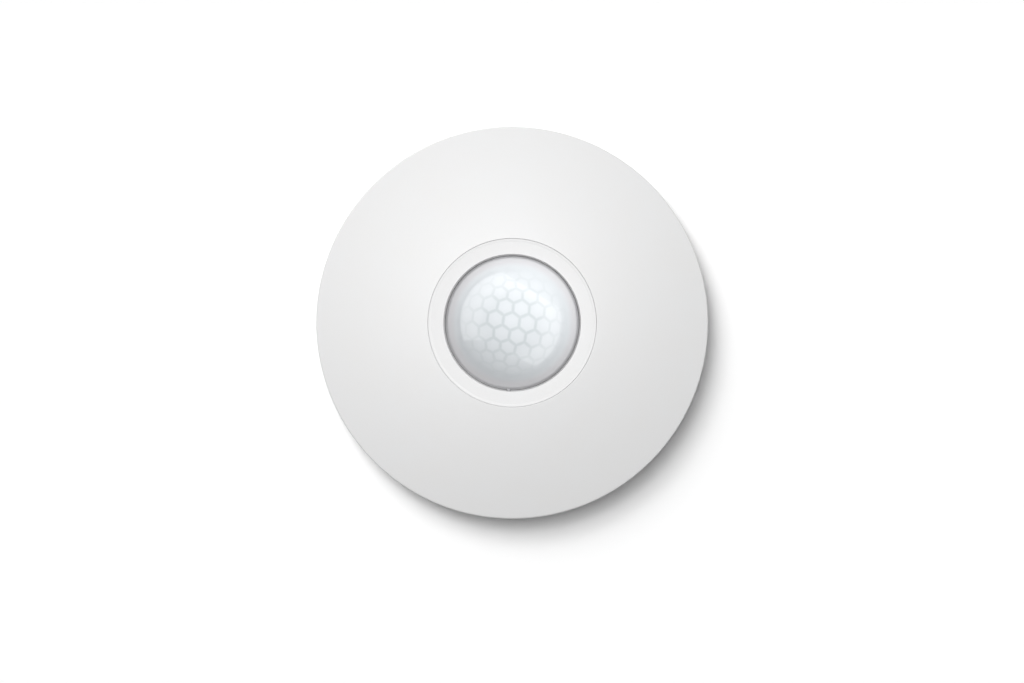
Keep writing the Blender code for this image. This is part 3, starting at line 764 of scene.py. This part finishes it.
# the locating rib at the foot of the dome, seen as a small light tick in the gap
rib = block_bm(14.95, 15.80, -0.38, 0.38, 12.2, 15.45, edge=0.12, segments=2)
bmesh.ops.transform(rib, matrix=rib_turn, verts=rib.verts)
rib_obj = mesh_object("lens_locating_rib", rib, LENS_MAT)
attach(rib_obj, "head")
stands_for(lens, "dome_lens")

# =====================================================================
# mounting plate
# =====================================================================
PLATE_R, PLATE_T = 41.5, 1.4
plate = lathe("mounting_plate_disc",
              rounded([(0, PLATE_T), (PLATE_R, PLATE_T, 0.3), (PLATE_R, 0, 0.3), (0, 0)], closed=False), 240,
              PLATE_MAT, closed=False)
steps = []
for a in (90.0, 270.0):
    steps.append((CUT, prism_bm(slot_outline(30.0, 1.9, a - 7.0, a + 7.0), -1.0, 3.0)))
steps.append((CUT, disc_bm(1.9, -1, 3, 48)))
steps.append((CUT, prism_bm(slot_outline(PLATE_R + 0.6, 1.5, 178.0, 182.0, 6), -1.0, 3.0)))
for a in (0.0, 120.0, 240.0):
    hook = rounded([(35.2, 0.6), (36.6, 0.6), (36.6, 4.9, 0.3), (33.6, 4.9, 0.4), (33.6, 3.75, 0.12), (35.2, 3.75, 0.15)])
    steps.append((ADD, lathe_bm(hook, 12, True, (0, 0), a - 4.75, a + 4.75)))
# shallow recesses in the back, which keep the moulding an even thickness
for a in (30.0, 150.0, 210.0, 330.0):
    steps.append((CUT, prism_bm(slot_outline(24.0, 5.0, a - 14.0, a + 14.0), -1.0, 0.35)))
shape(plate, steps)
stands_for(plate, "mounting_plate")

# =====================================================================
# rear housing
# =====================================================================
TWIST, HOOK_HALF = 18.0, 4.75
CX, CY = -24.5, 0.0
rear = lathe("rear_housing_tray",
             rounded([(0, 3.4), (41.9, 3.4, 0.4), (41.9, 7.6, 0.2), (43.3, 7.6, 0.2), (43.3, 2.0, 0.4), (0, 2.0)],
                     closed=False), 240, HOUSING_MAT, closed=False)
steps = []
for a in HOUSING_SCREWS:
    steps.append((ADD, disc_bm(3.3, 2.6, 5.0, 40, polar(39.0, a))))
for a in BOARD_SCREWS:
    steps.append((ADD, disc_bm(2.4, 2.7, 5.5, 32, polar(28.0, a))))
for a in HOUSING_SCREWS:
    steps.append((CUT, disc_bm(2.5, 0.0, 3.8, 36, polar(39.0, a))))
    steps.append((CUT, disc_bm(1.3, 0.0, 8.0, 28, polar(39.0, a))))
for a in BOARD_SCREWS:
    steps.append((CUT, disc_bm(1.2, 2.7, 8.0, 24, polar(28.0, a))))
for a in (0.0, 120.0, 240.0):
    steps.append((CUT, lathe_bm([(34.8, 0), (37.0, 0), (37.0, 5.4), (34.8, 5.4)], 24, True, (0, 0),
                                a - TWIST - HOOK_HALF - 0.9, a + HOOK_HALF + 0.9)))
    steps.append((CUT, lathe_bm([(33.2, -0.5), (36.9, -0.5), (36.9, 5.6), (33.2, 5.6)], 10, True, (0, 0),
                                a - TWIST - HOOK_HALF - 0.9, a - TWIST + HOOK_HALF + 0.9)))
steps.append((CUT, disc_bm(14.2, 0.0, 5.0, 120, (CX, CY))))
for a in (0.0, 120.0, 240.0):
    steps.append((CUT, lathe_bm([(12.0, -0.5), (15.4, -0.5), (15.4, 5.5), (12.0, 5.5)], 10, True, (CX, CY),
                                a - 25.0 - 13.2, a - 25.0 + 13.2)))
steps.append((CUT, disc_bm(1.6, 0.0, 5.0, 28, (19.8, -19.8))))
steps.append((CUT, disc_bm(2.2, 0.0, 5.0, 36, (9.0, -23.0))))
steps.append((CUT, block_bm(7.8, 16.2, 18.5, 25.5, 0.0, 5.0)))
shape(rear, steps)
stands_for(rear, "rear_housing")

# =====================================================================
# battery door, with a coin slot
# =====================================================================
door = lathe("battery_door_disc",
             rounded([(0, 3.1), (12.7, 3.1, 0.2), (12.7, 4.5, 0.15), (13.9, 4.5, 0.2), (13.9, 2.0, 0.3), (0, 2.0)],
                     closed=False), 120, DOOR_MAT, closed=False, centre=(CX, CY))
steps = []
for a in (0.0, 120.0, 240.0):
    steps.append((ADD, lathe_bm([(13.3, 3.7), (15.1, 3.7), (15.1, 4.3), (13.3, 4.3)], 10, True, (CX, CY), a - 9.5, a + 9.5)))
steps.append((CUT, block_bm(CX - 6.5, CX + 6.5, CY - 0.9, CY + 0.9, 1.0, 2.55, edge=0.2)))
for k in range(24):
    a = 15.0 * k
    if min(abs((a % 180.0) - 0.0), abs((a % 180.0) - 180.0)) < 20.0:
        continue
    tool = block_bm(9.4, 11.6, -0.28, 0.28, 1.0, 2.22)
    bmesh.ops.transform(tool, matrix=Matrix.Translation((CX * MM, CY * MM, 0)) @ Matrix.Rotation(math.radians(a), 4, "Z"),
                        verts=tool.verts)
    steps.append((CUT, tool))
shape(door, steps)
stands_for(door, "battery_door")

# =====================================================================
# tamper spring: a round wire, squeezed as the plunger goes in
# =====================================================================
def coil(name, centre, r, wire, z0, z1, turns, mats, sides=12, per_turn=36):
    bm = bmesh.new()
    n = int(round(turns * per_turn))
    loops = []
    for i in range(n + 1):
        a = 2.0 * math.pi * i / per_turn
        z = z0 + wire + (z1 - z0 - 2.0 * wire) * i / n
        loops.append([bm.verts.new(((centre[0] + (r + wire * math.cos(b)) * math.cos(a)) * MM,
                                    (centre[1] + (r + wire * math.cos(b)) * math.sin(a)) * MM,
                                    (z + wire * math.sin(b)) * MM))
                      for b in (2.0 * math.pi * k / sides for k in range(sides))])
    for p, q in zip(loops, loops[1:]):
        for k in range(sides):
            bm.faces.new((p[k], p[(k + 1) % sides], q[(k + 1) % sides], q[k]))
    bm.faces.new(loops[0][::-1])
    bm.faces.new(loops[-1])
    bmesh.ops.recalc_face_normals(bm, faces=bm.faces)
    return mesh_object(name, bm, mats)


spring = coil("tamper_spring_coil", (19.8, -19.8), 1.35, 0.16, 7.85, 9.85, 3.5, SPRING_MAT)
stands_for(spring, "tamper_spring")
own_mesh(spring)

# =====================================================================
# the rest keep their CAD shape, and get their finish here
# =====================================================================
FINISH = {
    "collar_plastic": COLLAR_MAT, "black_plastic": BLACK_MAT, "chip_epoxy": CHIP_MAT, "button_plastic": BUTTON_MAT,
    "slider_plastic": SLIDER_MAT, "switch_red": RED_MAT, "nickel_plate": NICKEL_MAT, "screw_zinc": ZINC_MAT,
    "spring_steel": SPRING_MAT, "lead_gold": GOLD_MAT, "capacitor_can": ALU_MAT, "gasket_foam": FOAM_MAT,
    "board_laminate": BOARD_MAT, "filter_silicon": SILICON_MAT, "ferrite": FERRITE_MAT, "led_resin": RESIN_MAT,
}
for node, obj in frame["nodes"].items():
    if obj.hide_render:
        continue
    mat = CELL_MAT if node == "coin_cell" else FINISH[SLOT_OF[node]]
    if not obj.data.materials:
        obj.data.materials.append(mat)
    for i in range(len(obj.material_slots)):
        obj.material_slots[i].material = mat

# =====================================================================
# floor, light and camera
# =====================================================================
def floor():
    bm = bmesh.new()
    s = 3.0
    z = -0.00003
    bm.faces.new([bm.verts.new(p) for p in ((-s, -s, z), (s, -s, z), (s, s, z), (-s, s, z))])
    t = Tree("floor_paint")
    n = t.noise(60.0, 3.0)
    t.into("Base Color", t.mix(n, (0.97, 0.97, 0.97), (0.96, 0.96, 0.96)))
    t.set("Roughness", 0.9)
    t.set("Specular IOR Level", 0.0)
    clear = t.add("ShaderNodeBsdfTransparent")
    pick = t.add("ShaderNodeMixShader")
    t.link(t.add("ShaderNodeNewGeometry").outputs["Backfacing"], pick.inputs[0])
    t.link(t.shader.outputs[0], pick.inputs[1])
    t.link(clear.outputs[0], pick.inputs[2])
    t.link(pick.outputs[0], t.t.nodes["Material Output"].inputs["Surface"])
    obj = mesh_object("studio_floor", bm, t.mat, smooth_angle=0)
    obj.visible_glossy = False
    return obj


ground = floor()


def aim(obj, azimuth, height, distance):
    """Places a light at an azimuth and a height angle, looking at the origin."""
    a, h = math.radians(azimuth), math.radians(height)
    d = Vector((math.cos(h) * math.cos(a), math.cos(h) * math.sin(a), math.sin(h)))
    obj.location = d * distance
    obj.rotation_euler = d.to_track_quat("Z", "Y").to_euler()


def lamp(name, kind, energy, glossy=False):
    data = bpy.data.lights.new(name, kind)
    data.energy = energy
    obj = bpy.data.objects.new(name, data)
    COLLECTION.objects.link(obj)
    obj.visible_camera = False
    obj.visible_glossy = glossy
    return obj


def link_set(name, objs, state="INCLUDE"):
    group = bpy.data.collections.new(name)
    for o in objs:
        group.objects.link(o)
    for entry in group.collection_objects:
        entry.light_linking.link_state = state
    return group


def sun(name, share, azimuth, height, spread):
    """share is how bright a white floor looks under this light alone."""
    obj = lamp(name, "SUN", share * math.pi / abs(math.sin(math.radians(height))))
    obj.data.angle = math.radians(spread)
    aim(obj, azimuth, height, 1.0)
    return obj


def near_disc(name, share, x, y, z, size=30.0):
    """A small lamp close above the part; share is as for sun(), 13 mm above the floor."""
    obj = lamp(name, "AREA", share * math.pi ** 2 * ((z - 13.0) * MM) ** 2)
    obj.data.shape = "DISK"
    obj.data.size = size * MM
    obj.location = (x * MM, y * MM, z * MM)
    return obj


# one rig for the floor, one for the milky dome and one for everything else, as in a retouched studio shot
ON_FLOOR = link_set("on_floor", [ground])
ON_DOME = link_set("on_dome", [lens, rib_obj])
ON_REST = link_set("on_rest", [ground, lens, rib_obj, ledge, collar], "EXCLUDE")
ON_COLLAR = link_set("on_collar", [collar])
ON_LEDGE = link_set("on_ledge", [ledge])
NO_DOME_SHADOW = link_set("no_dome_shadow", [lens, rib_obj], "EXCLUDE")

for light in (sun("floor_softbox_mid", 0.285, 125.0, 60.0, 28.0),
              sun("floor_softbox_low", 0.210, 125.0, 45.0, 30.0),
              sun("floor_softbox_side", 0.037, 105.0, 60.0, 30.0),
              sun("floor_fill_right", 0.025, 40.0, 50.0, 50.0),
              sun("floor_fill_left", 0.014, 205.0, 50.0, 50.0),
              sun("floor_softbox_top", 0.274, 125.0, 75.0, 22.0)):
    light.light_linking.receiver_collection = ON_FLOOR
for light, lit in ((sun("key_softbox", 0.667, 110.0, 65.0, 60.0), ON_REST),
                   (near_disc("overhead_lamp", 0.222, -6.5, 10.5, 87.0), ON_REST),
                   (sun("collar_softbox", 0.880, 66.0, 71.0, 60.0), ON_COLLAR)):
    light.light_linking.receiver_collection = lit
    light.light_linking.blocker_collection = NO_DOME_SHADOW
sun("ledge_softbox", 0.73, 150.0, 82.0, 60.0).light_linking.receiver_collection = ON_LEDGE
# light from below, which only the back of the part gets; the floor lets it through
for light in (sun("back_softbox", 0.38, 140.0, -50.0, 40.0), sun("back_fill", 0.09, -20.0, -35.0, 60.0)):
    light.light_linking.receiver_collection = link_set(light.name + "_on", [ground, cover, collar, ledge, lens, rib_obj], "EXCLUDE")
    light.light_linking.blocker_collection = link_set(light.name + "_past", [ground], "EXCLUDE")
for light in (sun("dome_softbox", 0.28, 61.0, 60.0, 50.0),
              sun("dome_overhead", 0.326, 0.0, 89.0, 40.0),
              sun("dome_rim", 0.052, 120.0, 30.0, 40.0),
              near_disc("dome_lamp", 0.283, 30.0, 30.0, 93.0)):
    light.light_linking.receiver_collection = ON_DOME


def world():
    w = bpy.data.worlds.new("studio")
    SCENE.world = w
    w.use_nodes = True
    nt = w.node_tree
    bg = nt.nodes["Background"]
    path = nt.nodes.new("ShaderNodeLightPath")
    mix = nt.nodes.new("ShaderNodeMapRange")
    mix.inputs["To Min"].default_value = 0.20
    mix.inputs["To Max"].default_value = 0.93
    nt.links.new(path.outputs["Is Camera Ray"], mix.inputs["Value"])
    nt.links.new(mix.outputs["Result"], bg.inputs["Strength"])
    bg.inputs["Color"].default_value = (1.0, 1.0, 1.0, 1.0)


world()


def reflector():
    """A half ball of light that only glossy surfaces see: a plain studio with two tall soft panels.

    The panels are placed by the point on a ball that mirrors them into a lens straight above.
    """
    bm = bmesh.new()
    bmesh.ops.create_icosphere(bm, subdivisions=5, radius=2.6)
    bmesh.ops.bisect_plane(bm, geom=list(bm.verts) + list(bm.edges) + list(bm.faces), plane_co=(0, 0, -0.95),
                           plane_no=(0, 0, 1), clear_inner=True)
    t = Tree("studio_panels")
    coord = t.add("ShaderNodeTexCoord")
    norm = t.add("ShaderNodeVectorMath", operation="NORMALIZE")
    t.link(coord.outputs["Object"], norm.inputs[0])
    lift = t.add("ShaderNodeVectorMath", operation="ADD")
    lift.inputs[1].default_value = (0.0, 0.0, 1.0)
    t.link(norm.outputs[0], lift.inputs[0])
    half = t.add("ShaderNodeVectorMath", operation="NORMALIZE")
    t.link(lift.outputs[0], half.inputs[0])
    xyz = t.add("ShaderNodeSeparateXYZ")
    t.link(half.outputs[0], xyz.inputs[0])
    x, y, z = (xyz.outputs[i] for i in range(3))
    r = t.math("SQRT", t.math("ADD", t.math("MULTIPLY", x, x), t.math("MULTIPLY", y, y)))

    def side(ax, ay, limit, soft=0.007):
        """1 where ax*x + ay*y is under the limit."""
        v = t.math("ADD", t.math("MULTIPLY", x, ax), t.math("MULTIPLY", y, ay))
        return t.remap(v, limit - soft, limit + soft, 1.0, 0.0, smooth=True)

    grow = t.remap(r, 0.38, 0.56, 0.0, 1.0, smooth=True)
    upper = side(0.537, 0.844, 0.552)
    left = t.math("MULTIPLY", t.math("MULTIPLY", side(0.0, -1.0, 0.255), side(1.0, 0.0, 0.0, 0.05)), upper)
    right = t.math("MULTIPLY", t.math("MULTIPLY", side(-0.459, -0.889, 0.420), side(-1.0, 0.0, 0.0, 0.05)), upper)
    far = t.math("ADD", r, t.math("ADD", t.math("MULTIPLY", x, 0.030), t.math("MULTIPLY", y, -0.017)))
    reach = t.remap(far, 0.730, 0.752, 1.0, 0.0, smooth=True)
    plain = t.remap(r, 0.72, 0.77, 0.8, 0.5, smooth=True)
    panels = t.math("MULTIPLY", t.math("MULTIPLY", t.math("ADD", left, right), grow), reach)
    level = t.math("ADD", t.math("MULTIPLY", panels, 1.9), plain)
    e = t.add("ShaderNodeEmission")
    t.link(level, e.inputs["Strength"])
    t.link(e.outputs[0], t.t.nodes["Material Output"].inputs["Surface"])
    obj = mesh_object("studio_reflector", bm, t.mat, smooth_angle=0)
    t.mat.cycles.emission_sampling = "NONE"
    obj.visible_camera = False
    obj.visible_diffuse = False
    obj.visible_transmission = False
    obj.visible_volume_scatter = False
    obj.visible_shadow = False
    return obj


reflector()

SCENE.view_settings.view_transform = "Standard"
SCENE.view_settings.look = "None"

# the rim's edge, 9 mm above the floor, is 391.7 units wide in a picture 1024 units wide
SCALE = 91.0 / 391.66                      # millimetres per unit at the rim
LENS_MM, SENSOR_MM = 200.0, 36.0
DISTANCE = SCALE * 1024.0 * LENS_MM / SENSOR_MM
cam_data = bpy.data.cameras.new("camera")
cam_data.lens = LENS_MM
cam_data.sensor_width = SENSOR_MM
cam_data.clip_end = 20.0
camera = bpy.data.objects.new("camera", cam_data)
camera.location = (-0.2 * SCALE * MM, -18.6 * SCALE * MM, (9.0 + DISTANCE) * MM)
COLLECTION.objects.link(camera)
SCENE.camera = camera
